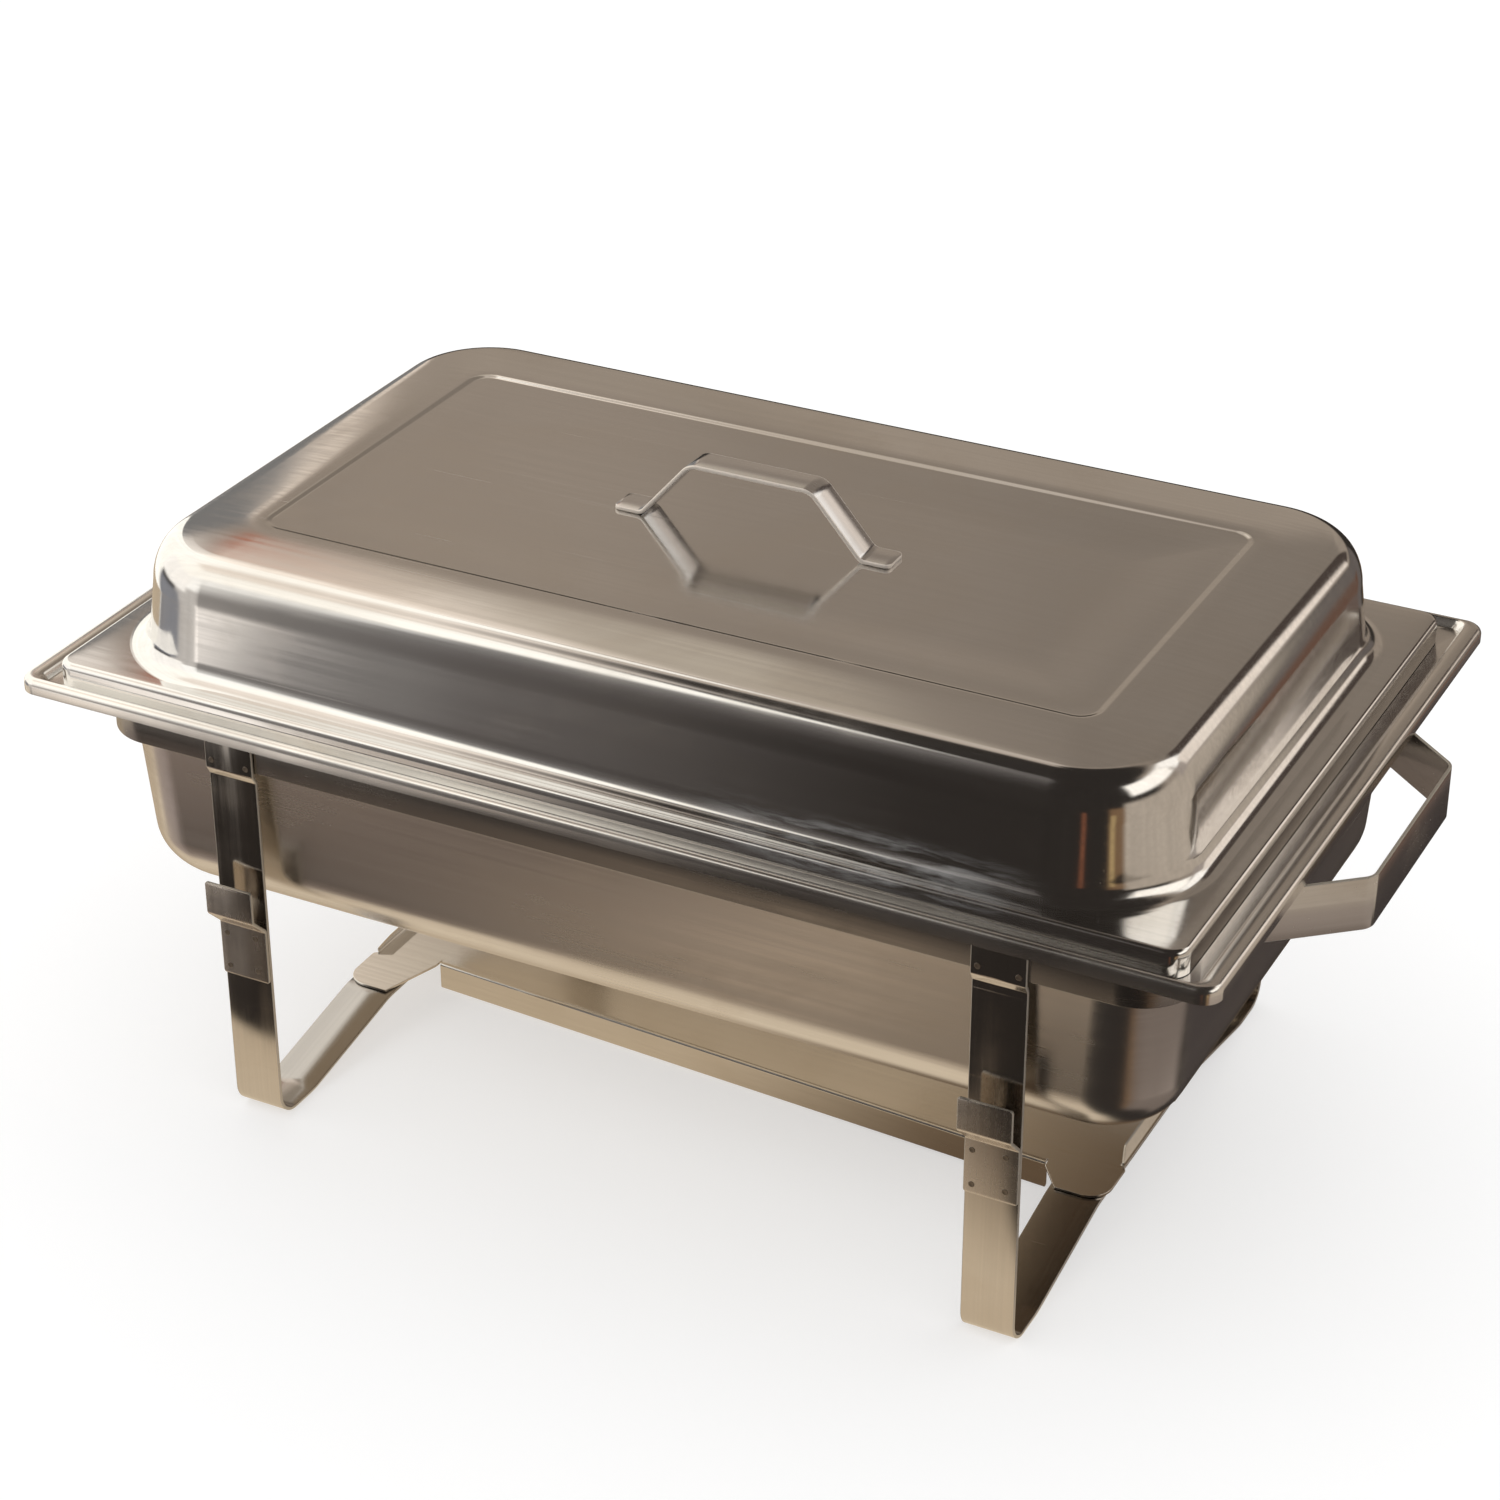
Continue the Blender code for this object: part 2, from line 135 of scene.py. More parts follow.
def pressed_sheet(profile, thickness, cx, cy):
    """Closed body of a pressed sheet: the profile of its lower face, and that moved up by the thickness."""
    upper = []
    last = len(profile) - 1
    bluntest, least_r = 0.5, 0.8
    for i, (hx, hy, r, z) in enumerate(profile):
        normals = []
        for a, b in ((max(i - 1, 0), max(i, 1)), (min(i, last - 1), min(i + 1, last))):
            across = 0.5 * (profile[b][0] - profile[a][0] + profile[b][1] - profile[a][1])
            rise = profile[b][3] - profile[a][3]
            length = math.hypot(across, rise)
            normals.append((-rise / length, across / length))
        nu, nz = normals[0][0] + normals[1][0], normals[0][1] + normals[1][1]
        size = math.hypot(nu, nz)
        nu, nz = nu / size, nz / size
        reach = thickness / max(nu * normals[0][0] + nz * normals[0][1], bluntest)
        upper.append((hx + nu * reach, hy + nu * reach, max(r + nu * reach, least_r), z + nz * reach))
    return lofted(list(profile) + upper[::-1], cx, cy)


def arc(cu, cv, radius, start, end, steps):
    """Points (u, v) on an arc in a profile plane, angles in degrees."""
    result = []
    for i in range(steps + 1):
        a = math.radians(start + (end - start) * i / steps)
        result.append((cu + radius * math.cos(a), cv + radius * math.sin(a)))
    return result


def bent_path(corners):
    """Polyline with rounded bends. Each corner is (u, v, bend radius)."""
    points = [Vector(corners[0][:2])]
    for (u0, v0, _), (u, v, r), (u1, v1, _) in zip(corners, corners[1:], corners[2:]):
        p, a, b = Vector((u, v)), Vector((u0, v0)), Vector((u1, v1))
        da, db = (a - p).normalized(), (b - p).normalized()
        half = da.angle(db) / 2
        cut = r / math.tan(half)
        start = p + da * cut
        end = p + db * cut
        centre = p + (da + db).normalized() * (r / math.sin(half))
        s, e = start - centre, end - centre
        turn = s.angle_signed(e)
        for i in range(BEND_STEPS + 1):
            t = -turn * i / BEND_STEPS
            c, w = math.cos(t), math.sin(t)
            points.append(centre + Vector((s.x * c - s.y * w, s.x * w + s.y * c)))
    points.append(Vector(corners[-1][:2]))
    return points


def strip_section(half_t, half_w, edge):
    """Cross-section (across thickness, across width) of a flat strip with rounded long edges."""
    points = []
    for st, sw, start in ((1, 1, 0), (-1, 1, 90), (-1, -1, 180), (1, -1, 270)):
        for i in range(EDGE_STEPS + 1):
            a = math.radians(start + 90.0 * i / EDGE_STEPS)
            across = st * (half_t - edge) + edge * math.cos(a)
            along = sw * (half_w - edge) + edge * math.sin(a)
            points.append((across, along))
    return points


def end_stations(path, tip):
    """Path points with extra ones near both ends, each with how much narrower the strip is there."""
    first = (path[1] - path[0]).normalized()
    last = (path[-2] - path[-1]).normalized()
    shape = []
    for i in range(TIP_STEPS + 1):
        a = math.radians(90.0 * i / TIP_STEPS)
        shape.append((tip * (1 - math.sin(a)), tip * (1 - math.cos(a))))
    front = [(path[0] + first * along, narrower) for along, narrower in shape[::-1]]
    back = [(path[-1] + last * along, narrower) for along, narrower in shape]
    return front + [(p, 0.0) for p in path[1:-1]] + back


def strip_body(corners, thickness, lo, hi, place, edge=0.45, tip=0.6):
    """Flat strip with rounded edges and tips, bent along a centre path; it runs from lo to hi across it.

    `place` turns (u, v) of the path and the distance across into x, y, z. The flat sides get material
    index 0, the long edges and the ends 1.
    """
    stations = end_stations(bent_path(corners), tip)
    end_thinning, least_flat = 0.25, 0.02
    bm = bmesh.new()
    rows = []
    middle, half_w = (lo + hi) / 2, (hi - lo) / 2
    for i, (p, narrower) in enumerate(stations):
        before = (p - stations[i - 1][0]) if i else (stations[1][0] - p)
        after = (stations[i + 1][0] - p) if i + 1 < len(stations) else before
        before, after = before.normalized(), after.normalized()
        normal = Vector((-(before + after).y, (before + after).x)).normalized()
        reach = 1.0 / max(normal.dot(Vector((-after.y, after.x))), BLUNTEST)
        end = i in (0, len(stations) - 1)
        half_t = thickness / 2 - (end_thinning if end else 0.0)
        row = []
        for t, w in strip_section(half_t, half_w - narrower, min(edge, half_t - least_flat)):
            q = p + normal * (t * reach)
            row.append(bm.verts.new(place(q.x, q.y, middle + w)))
        rows.append(row)
    count = len(rows[0])
    flat_sides = (count // 2 - 1, count - 1)
    for r0, r1 in zip(rows, rows[1:]):
        for i in range(count):
            j = (i + 1) % count
            face = bm.faces.new((r0[i], r0[j], r1[j], r1[i]))
            face.material_index = 0 if i in flat_sides else 1
    bm.faces.new(rows[0]).material_index = 1
    bm.faces.new(rows[-1][::-1]).material_index = 1
    return bm


# ---------------------------------------------------------------- stainless steel

class Nodes:
    """Short ways to add and link shader nodes."""

    def __init__(self, name):
        self.material = bpy.data.materials.new(name)
        self.material.use_nodes = True
        self.tree = self.material.node_tree
        self.shader = self.tree.nodes["Principled BSDF"]
        coords = self.tree.nodes.new("ShaderNodeTexCoord")
        self.place = coords.outputs["Object"]

    def link(self, source, target):
        self.tree.links.new(source, target)

    def stretched(self, scale, rotation=(0.0, 0.0, 0.0), shift=(0.0, 0.0, 0.0)):
        """Object coordinates in metres, scaled per axis."""
        node = self.tree.nodes.new("ShaderNodeMapping")
        node.inputs["Scale"].default_value = scale
        node.inputs["Rotation"].default_value = rotation
        node.inputs["Location"].default_value = shift
        self.link(self.place, node.inputs["Vector"])
        return node.outputs["Vector"]

    def noise(self, vector, scale, detail=2.0, roughness=0.5, distortion=0.0):
        node = self.tree.nodes.new("ShaderNodeTexNoise")
        node.inputs["Scale"].default_value = scale
        node.inputs["Detail"].default_value = detail
        node.inputs["Roughness"].default_value = roughness
        node.inputs["Distortion"].default_value = distortion
        self.link(vector, node.inputs["Vector"])
        return node.outputs["Fac"]

    def ramp(self, value, lo, hi, out_lo=0.0, out_hi=1.0):
        """Maps lo..hi to out_lo..out_hi, clamped."""
        node = self.tree.nodes.new("ShaderNodeMapRange")
        node.interpolation_type = "SMOOTHSTEP"
        node.inputs["From Min"].default_value = lo
        node.inputs["From Max"].default_value = hi
        node.inputs["To Min"].default_value = out_lo
        node.inputs["To Max"].default_value = out_hi
        self.link(value, node.inputs["Value"])
        return node.outputs["Result"]

    def math(self, operation, a, b):
        node = self.tree.nodes.new("ShaderNodeMath")
        node.operation = operation
        for socket, value in zip(node.inputs, (a, b)):
            if isinstance(value, (int, float)):
                socket.default_value = value
            else:
                self.link(value, socket)
        return node.outputs["Value"]

    def mix(self, factor, a, b):
        """Colour a where factor is 0 and b where it is 1. Colours are tuples or sockets."""
        node = self.tree.nodes.new("ShaderNodeMix")
        node.data_type = "RGBA"
        self.link(factor, node.inputs["Factor"])
        for socket, value in ((node.inputs[6], a), (node.inputs[7], b)):
            if isinstance(value, tuple):
                socket.default_value = (*value, 1.0)
            else:
                self.link(value, socket)
        return node.outputs[2]

    def bump(self, height, strength, distance, normal=None):
        node = self.tree.nodes.new("ShaderNodeBump")
        node.inputs["Strength"].default_value = strength
        node.inputs["Distance"].default_value = distance
        self.link(height, node.inputs["Height"])
        if normal:
            self.link(normal, node.inputs["Normal"])
        return node.outputs["Normal"]


def rubbed_patch(n, x0, x1, z0, z1, front, amount):
    """Mask of a dull patch rubbed into the steel between x0..x1 and z0..z1, where y is less than `front`."""
    split = n.tree.nodes.new("ShaderNodeSeparateXYZ")
    n.link(n.place, split.inputs["Vector"])
    x, y, z = (split.outputs[axis] for axis in "XYZ")
    streaks = n.noise(n.stretched((25.0, 60.0, 260.0)), 1.0, detail=5.0, roughness=0.7)
    mask = n.ramp(streaks, 0.40, 0.68, 0.0, amount)
    for value, lo, hi, soft in ((x, x0, x1, 0.035), (z, z0, z1, 0.005)):
        mask = n.math("MULTIPLY", mask, n.ramp(value, lo - soft, lo + soft))
        mask = n.math("MULTIPLY", mask, n.ramp(value, hi - soft, hi + soft, 1.0, 0.0))
    return n.math("MULTIPLY", mask, n.ramp(y, front, front + 0.005, 1.0, 0.0))


def steel(name, colour, roughness, grain=(6.0, 500.0, 500.0), grain_depth=0.000004, wave_depth=0.0,
          haze=0.10, stain=(0.80, 0.74, 0.66), scratched=True, rubbed=None):
    """Rolled stainless steel: fine grain along one axis, faint smudges, hairline scratches and waviness.

    `grain` is the scale of the brushed lines per axis, in lines per metre; the smallest is along the lines.
    `haze` is the roughness that smudges add, `stain` their tint, `rubbed` the values of a rubbed_patch.
    """
    n = Nodes(name)
    fine = n.noise(n.stretched(grain), 1.0, detail=4.0, roughness=0.65)
    coarse = n.noise(n.stretched(tuple(g * 0.22 for g in grain), shift=(3.1, 1.7, 5.3)), 1.0, detail=2.0)
    smudge = n.noise(n.stretched((9.0, 9.0, 14.0)), 1.0, detail=5.0, roughness=0.62, distortion=0.6)
    scratch_a = n.noise(n.stretched((5.0, 900.0, 700.0), rotation=(0.1, 0.15, 0.5)), 1.0, detail=1.0)
    scratch_b = n.noise(n.stretched((7.0, 800.0, 900.0), rotation=(0.2, -0.1, -0.9), shift=(2.0, 4.0, 1.0)),
                        1.0, detail=1.0)
    scratches = n.math("MAXIMUM", n.ramp(scratch_a, 0.74, 0.82), n.ramp(scratch_b, 0.75, 0.83))
    smudges = n.ramp(smudge, 0.45, 0.72)
    lines = n.ramp(fine, 0.3, 0.7)
    tint = n.mix(n.ramp(smudge, 0.40, 0.75, 0.0, 0.35), colour, tuple(c * s for c, s in zip(colour, stain)))
    tint = n.mix(n.ramp(fine, 0.35, 0.65, 0.0, 0.22), tint, tuple(c * 0.82 for c in colour))
    n.link(tint, n.shader.inputs["Base Color"])
    rough = n.math("ADD", n.math("MULTIPLY", smudges, haze), n.math("MULTIPLY", lines, 0.05))
    rough = n.math("ADD", rough, n.math("MULTIPLY", scratches, 0.15 if scratched else 0.0))
    rough = n.math("ADD", rough, roughness)
    n.link(rough, n.shader.inputs["Roughness"])
    if rubbed:
        n.link(n.math("SUBTRACT", 1.0, rubbed_patch(n, *rubbed)), n.shader.inputs["Metallic"])
    else:
        n.shader.inputs["Metallic"].default_value = 1.0
    normal = n.bump(fine, 1.0, grain_depth)
    normal = n.bump(coarse, 1.0, grain_depth, normal)
    if scratched:
        normal = n.bump(scratches, 0.6, -0.0000015, normal)
    if wave_depth:
        wave = n.noise(n.stretched((16.0, 9.0, 12.0)), 1.0, detail=1.0, roughness=0.4)
        normal = n.bump(wave, 1.0, wave_depth, normal)
    n.link(normal, n.shader.inputs["Normal"])
    return n.material


def polished(name, colour, low, high):
    """Bright steel without a grain, only faintly smudged; `low` and `high` are its roughness limits."""
    n = Nodes(name)
    smudge = n.noise(n.stretched((14.0, 14.0, 14.0)), 1.0, detail=3.0)
    darker = tuple(c * 0.94 for c in colour)
    n.link(n.mix(n.ramp(smudge, 0.4, 0.7), colour, darker), n.shader.inputs["Base Color"])
    n.link(n.ramp(smudge, 0.35, 0.7, low, high), n.shader.inputs["Roughness"])
    n.shader.inputs["Metallic"].default_value = 1.0
    return n.material


def ground_edge(name, colour, metallic=0.6):
    """Sheared and ground edge of a strip: paler and duller than its rolled faces."""
    n = Nodes(name)
    marks = n.noise(n.stretched((700.0, 700.0, 700.0)), 1.0, detail=3.0)
    n.link(n.mix(marks, tuple(c * 0.85 for c in colour), colour), n.shader.inputs["Base Color"])
    n.link(n.ramp(marks, 0.3, 0.7, 0.35, 0.5), n.shader.inputs["Roughness"])
    n.shader.inputs["Metallic"].default_value = metallic
    return n.material


# Rubbed patch low on the front wall of the lid, in metres: x from and to, z from and to, y limit, strength.
LID_RUB = (0.06, 0.165, 0.224, 0.236, -0.13, 0.30)


def make_materials():
    """One steel for each piece, so that the grain follows the piece."""
    along_x = (5.0, 420.0, 420.0)
    return {
        # Darker steel on the band: painted shade under the overhanging pan rim.
        "band": steel("band_painted_shade_steel", (0.42, 0.41, 0.40), 0.20, grain=(8.0, 8.0, 500.0)),
        "leg": steel("leg_steel", (0.66, 0.63, 0.59), 0.05, grain=(500.0, 6.0, 6.0), wave_depth=0.00006,
                     haze=0.07),
        # Darker copy of the leg steel for the foot bar's upward faces: painted shade of the pan above them.
        "foot": steel("foot_top_painted_shade_steel", (0.43, 0.41, 0.39), 0.10, grain=(500.0, 6.0, 6.0), wave_depth=0.00006,
                      haze=0.12),
        "hook": steel("hook_steel", (0.70, 0.66, 0.62), 0.17, grain=(500.0, 8.0, 8.0), wave_depth=0.00005),
        "side_handle": steel("side_handle_steel", (0.74, 0.73, 0.71), 0.14, grain=(6.0, 6.0, 500.0),
                             wave_depth=0.00005),
        "edge": ground_edge("strip_edge_steel", (0.50, 0.46, 0.40), 0.75),
        "knob_edge": ground_edge("lid_handle_edge_steel", (0.80, 0.72, 0.64), 0.45),
        "shelf": steel("shelf_steel", (0.80, 0.78, 0.74), 0.09, grain=along_x, wave_depth=0.00008,
                       haze=0.06),
        "water_pan": steel("water_pan_steel", (0.80, 0.785, 0.77), 0.20, grain=(4.0, 4.0, 520.0),
                           grain_depth=0.000002, wave_depth=0.00003, haze=0.05, scratched=False),
        "rim": polished("water_pan_rim_steel", (0.84, 0.82, 0.79), 0.14, 0.22),
        "food_pan": steel("food_pan_steel", (0.80, 0.79, 0.77), 0.20, grain=along_x),
        "lid": steel("lid_steel", (0.80, 0.795, 0.785), 0.08, grain=along_x, grain_depth=0.000002,
                     wave_depth=0.00012, haze=0.07, rubbed=LID_RUB),
        "lid_handle": steel("lid_handle_steel", (0.74, 0.74, 0.75), 0.13, grain=(8.0, 500.0, 8.0),
                            haze=0.08, wave_depth=0.00003),
        "weld": steel("weld_spot_steel", (0.30, 0.26, 0.22), 0.40, grain=(420.0, 420.0, 6.0)),
    }


# ---------------------------------------------------------------- stand

def build_band(material):
    """Ring of strip under the pan rim, its long edges rounded."""
    hx, hy = (BAND_HI.x - BAND_LO.x) / 2, (BAND_HI.y - BAND_LO.y) / 2
    radius, edge = 27.0, 0.4
    cx, cy = PAN_X, (BAND_LO.y + BAND_HI.y) / 2
    mid_z, half_z = (BAND_LO.z + BAND_HI.z) / 2, (BAND_HI.z - BAND_LO.z) / 2
    mid = STRIP_T / 2
    bm = bmesh.new()
    loops = []
    for out, up in strip_section(mid, half_z, edge):
        grow = out - mid
        loops.append([bm.verts.new((x, y, mid_z + up))
                      for x, y in plan(hx + grow, hy + grow, radius + grow, cx, cy)])
    count = len(loops[0])
    for k, a in enumerate(loops):
        b = loops[(k + 1) % len(loops)]
        for i in range(count):
            j = (i + 1) % count
            bm.faces.new((a[i], a[j], b[j], b[i]))
    return mesh_object(bm, "frame_band_ring", material, "stand", "frame_band")


FOOT_RISE = 12.5  # how far the middle of a foot bar stands above its ends
FOOT_FLAT_Y, FOOT_RAISED_Y = 126.0, 58.0  # where the foot bar starts to rise, and where it is raised
LEG_JOG = 2.2  # step inwards of a leg, just under the band
JOG_HI_Z, JOG_LO_Z = BAND_LO.z - 1.4, BAND_LO.z - 5.2
JOG_R, FOOT_R, RISE_R = 1.6, 11.0, 40.0  # bend radii
TOP_FACE = 0.6  # least upward part of a face's normal that gets the darker steel of the foot bar's top, a painted shade of the pan above


def leg_corners():
    """Centre path of one leg strip in the YZ plane: front leg, foot bar raised in the middle, rear leg."""
    upper_y = LEG_HI.y - STRIP_T / 2
    lower_y = upper_y - LEG_JOG
    z0 = LEG_LO.z + STRIP_T / 2
    half = [(-upper_y, LEG_HI.z, 0), (-upper_y, JOG_HI_Z, JOG_R), (-lower_y, JOG_LO_Z, JOG_R),
            (-lower_y, z0, FOOT_R), (-FOOT_FLAT_Y, z0, RISE_R), (-FOOT_RAISED_Y, z0 + FOOT_RISE, RISE_R)]
    return half + [(-y, z, r) for y, z, r in reversed(half)]


def build_legs(material):
    """One strip on each side, bent into two legs and a foot bar."""
    for side in ("left", "right"):
        lo, hi = box_mm(f"leg_frame_{side}")
        bm = strip_body(leg_corners(), STRIP_T, lo.x, hi.x, lambda u, v, w: (w, u, v))
        bmesh.ops.recalc_face_normals(bm, faces=bm.faces[:])
        # Faces turned up get the darker steel: painted shade of the pan above.
        for face in bm.faces:
            if face.normal.z > TOP_FACE:
                face.material_index = 2
        mesh_object(bm, f"leg_frame_{side}_strip", material, "stand", f"leg_frame_{side}")


HOOK_T = 1.5  # thickness of a hook
HOOK_R = 2.0  # bend radius
HOOK_LEDGE, HOOK_LIP = 28.0, 37.0  # where the ledge and the lip begin, over the hook's lower end


def build_hooks(material):
    """Hook on the outer face of each leg: flat plate, slanted ledge and upright lip."""
    for depth, sign in (("front", -1), ("rear", 1)):
        for side in ("left", "right"):
            node = f"leg_hook_{depth}_{side}"
            lo, hi = box_mm(node)
            near = min(abs(lo.y), abs(hi.y)) + HOOK_T / 2
            far = max(abs(lo.y), abs(hi.y)) - HOOK_T / 2
            ledge_z, lip_z = lo.z + HOOK_LEDGE, lo.z + HOOK_LIP
            corners = [(near, lo.z, 0), (near, ledge_z, HOOK_R), (far, lip_z, HOOK_R), (far, hi.z, 0)]
            bm = strip_body(corners, HOOK_T, lo.x, hi.x, lambda u, v, w, s=sign: (w, s * u, v), tip=1.2)
            mesh_object(bm, node + "_strip", material, "stand", node)


def build_side_handle(material):
    """Trapezoid grip of strip standing out from the right end of the band."""
    x0, x1 = GRIP_LO.x + STRIP_T / 2, GRIP_HI.x - STRIP_T / 2
    tab_end = GRIP_LO.y
    tab_foot = tab_end + 16.0
    half_grip = 52.0
    half = [(x0, tab_end, 0), (x0, tab_foot, 4.0), (x1, -half_grip, 8.0)]
    corners = half + [(x, -y, r) for x, y, r in reversed(half)]
    bm = strip_body(corners, STRIP_T, GRIP_LO.z, GRIP_HI.z, lambda u, v, w: (u, v, w), tip=1.5)
    return mesh_object(bm, "side_handle_strip", material, "stand", "side_handle")


# ---------------------------------------------------------------- shelf

SHELF_T = 1.2
SHELF_Z = STRIP_T + FOOT_RISE + CLEARANCE  # underside of the plate
SHELF_HX = (SHELF_HI.x - SHELF_LO.x) / 2
SHELF_HY, SHELF_SKEW = 33.0, math.tan(math.radians(3.0))  # half depth between the folds, and their slant
SHELF_BEND, SHELF_FLANGE, SHELF_HEM = 2.4, 13.5, 8.0  # reach of the fold, its height and that of its hem
TAB_HY = (SHELF_HI.y - SHELF_LO.y) / 2
TAB_R, TAB_STEPS = 11.0, 14
TAB_GAP, TAB_NOTCH, TAB_FLARE = 8.0, 5.0, 11.0  # from leg to fold, depth of the notch, length of the flare
LIP_HY, LIP_LEAN, LIP_RISE = 29.0, 3.8, 6.5  # half length of an end lip, its lean inwards and its height
LIP_TAPER = 8.0  # how much the lip narrows at each end


def fold(bm, first, steps, taper):
    """Continues a plate edge through the given steps, narrowing the free edge, and closes the end.

    `first` is the edge as four corners: the upper two, then the lower two in the opposite direction.
    """
    base = [v.co.copy() for v in first]
    along = (base[1] - base[0]).normalized()
    rows = [first]
    for i, (up, down) in enumerate(steps):
        cut = along * (taper if i + 1 == len(steps) else 0.0)
        rows.append([bm.verts.new(base[0] + up + cut), bm.verts.new(base[1] + up - cut),
                     bm.verts.new(base[2] + down - cut), bm.verts.new(base[3] + down + cut)])
    for r0, r1 in zip(rows, rows[1:]):
        for i in range(4):
            j = (i + 1) % 4
            bm.faces.new((r0[i], r0[j], r1[j], r1[i]))
    bm.faces.new(rows[-1])


def fold_steps(direction, t, corners):
    """Steps for fold(): a strip path in (outward, up) coordinates measured from the middle of the edge."""
    path = bent_path([(-1.0, 0.0, 0)] + corners)[1:]
    steps = []
    for i, p in enumerate(path):
        before = (p - (path[i - 1] if i else Vector((-1.0, 0.0)))).normalized()
        after = (path[i + 1] - p).normalized() if i + 1 < len(path) else before
        normal = Vector((-(before + after).y, (before + after).x)).normalized()
        reach = t / 2 / max(normal.dot(Vector((-after.y, after.x))), BLUNTEST)
        pair = []
        for sign, rest in ((1, t / 2), (-1, -t / 2)):
            q = p + normal * reach * sign
            pair.append(Vector((direction[0] * q.x, direction[1] * q.x, q.y - rest)))
        steps.append(pair)
    return steps


def shelf_corner(sx, sy):
    """Outline of one corner of the shelf plate, from its folded long edge to its end lip."""
    leg_inner = LEG_LO.x - PAN_X
    inner = leg_inner - TAB_GAP
    edge = sy * (SHELF_HY - SHELF_BEND) - SHELF_SKEW * sx * inner
    points = [(sx * inner, edge), (sx * (inner + 0.5), edge - sy * 0.5),
              (sx * (inner + 1.0), edge + sy * TAB_NOTCH), (sx * (inner + TAB_FLARE), sy * TAB_HY)]
    rounded = arc(SHELF_HX - TAB_R, TAB_HY - TAB_R, TAB_R, 90, 0, TAB_STEPS)
    points += [(sx * x, sy * y) for x, y in rounded]
    return points + [(sx * SHELF_HX, sy * (LIP_HY + 2.0)), (sx * (SHELF_HX - SHELF_BEND), sy * LIP_HY)]


def build_shelf(material):
    """Loose plate across the foot bars: long edges folded down and hemmed, end tabs with upturned lips."""
    t = SHELF_T
    right, left = shelf_corner(1, 1), shelf_corner(-1, -1)
    outline = right + shelf_corner(1, -1)[::-1] + left + shelf_corner(-1, 1)[::-1]
    count, part = len(outline), len(right)
    bm = bmesh.new()
    lower = [bm.verts.new((PAN_X + x, y, SHELF_Z)) for x, y in outline]
    upper = [bm.verts.new((PAN_X + x, y, SHELF_Z + t)) for x, y in outline]
    start = SHELF_BEND - t / 2
    hem = start - t - CLEARANCE
    fold_r, hem_r, lip_r = 1.5, 0.72, 1.6
    flange = [(start, 0.0, fold_r), (start, -SHELF_FLANGE, hem_r), (hem, -SHELF_FLANGE, hem_r),
              (hem, -SHELF_FLANGE + SHELF_HEM, 0)]
    lip = [(start, 0.0, lip_r), (start - LIP_LEAN, LIP_RISE, 0)]
    folds = {part - 1: (lip, LIP_TAPER), 2 * part - 1: (flange, 0.0),
             3 * part - 1: (lip, LIP_TAPER), 4 * part - 1: (flange, 0.0)}
    for i in range(count):
        j = (i + 1) % count
        quad = [upper[i], upper[j], lower[j], lower[i]]
        if i in folds:
            along = (Vector(outline[j]) - Vector(outline[i])).normalized()
            corners, taper = folds[i]
            fold(bm, quad, fold_steps((-along.y, along.x), t, corners), taper)
        else:
            bm.faces.new(quad)
    bm.faces.new(lower[::-1])
    bm.faces.new(upper)
    shelf = mesh_object(bm, "burner_shelf_plate", material, "shelf", "burner_shelf", angle=30.0)
    bevel = shelf.modifiers.new("rounded_edges", "BEVEL")
    bevel.width = 0.25 * MM
    bevel.segments = 2
    bevel.limit_method = "ANGLE"
    bevel.angle_limit = math.radians(50)
    return shelf


# ---------------------------------------------------------------- pans

def well(hx, hy, r, top, bottom, fillet, taper, r_share):
    """Lower face of a pressed well, from its flat bottom to the top of its wall.

    The corner radius shrinks by `r_share` of the way inwards along the bottom fillet.
    """
    low_x, low_y = hx - taper, hy - taper
    inset = fillet + 6.0
    points = [(low_x - inset, low_y - inset, max(r - fillet * r_share - 3.0, 4.0), bottom)]
    for u, v in arc(-fillet, bottom + fillet, fillet, 270, 357, 16):
        points.append((low_x + u, low_y + u, r + u * r_share, v))
    points.append((hx, hy, r, top))
    return points


WELL_IN_X, WELL_IN_Y = 26.1, 25.1  # from the edge of the rim to the well
# Step from the ledge up to the lip: (inset along X, inset along Y, loss of corner radius) of each ring.
LIP_STEP = ((9.6, 5.2, 4.0), (9.0, 4.7, 4.0), (7.1, 3.2, 3.0), (6.5, 2.8, 3.0))
RIM_FOOT_Z = 212.0  # lower end of the turned-down edge
RIM_LOOK_DEPTH = 2.5  # how far under the ledge the polished look of the rim reaches


def build_water_pan(material):
    """Deep pan whose wide ledge ends in a raised lip with a turned-down edge."""
    rim_hx, rim_hy, rim_r = (PAN_HI.x - PAN_LO.x) / 2, (PAN_HI.y - PAN_LO.y) / 2, 9.0
    well_hx, well_hy, well_r = rim_hx - WELL_IN_X, rim_hy - WELL_IN_Y, 34.0
    z = LEDGE_Z - SHEET  # underside of the ledge
    turn = 1.6
    profile = well(well_hx, well_hy, well_r, z - turn, PAN_LO.z, fillet=28.0, taper=4.5, r_share=0.6)
    profile += [(well_hx + turn * 0.3, well_hy + turn * 0.3, well_r, z - turn * 0.3),
                (well_hx + turn, well_hy + turn, well_r - 2, z)]
    lip = PAN_HI.z - SHEET  # underside of the lip
    edge = 2.6
    x0, y0 = rim_hx - SHEET, rim_hy - SHEET
    for (in_x, in_y, in_r), height in zip(LIP_STEP, (z, z + 0.15, lip - 0.35, lip)):
        profile.append((x0 - in_x, y0 - in_y, rim_r - in_r, height))
    for u, v in arc(-edge, lip - edge, edge, 88, 0, 10):
        profile.append((x0 + u, y0 + u, rim_r - SHEET + u, v))
    profile.append((x0, y0, rim_r - SHEET, RIM_FOOT_Z))
    bm = pressed_sheet(profile, SHEET, PAN_X, 0.0)
    for face in bm.faces:
        face.material_index = 1 if face.calc_center_median().z > z - RIM_LOOK_DEPTH else 0
    return mesh_object(bm, "water_pan_pressing", material, "water_pan", "water_pan", angle=40.0)


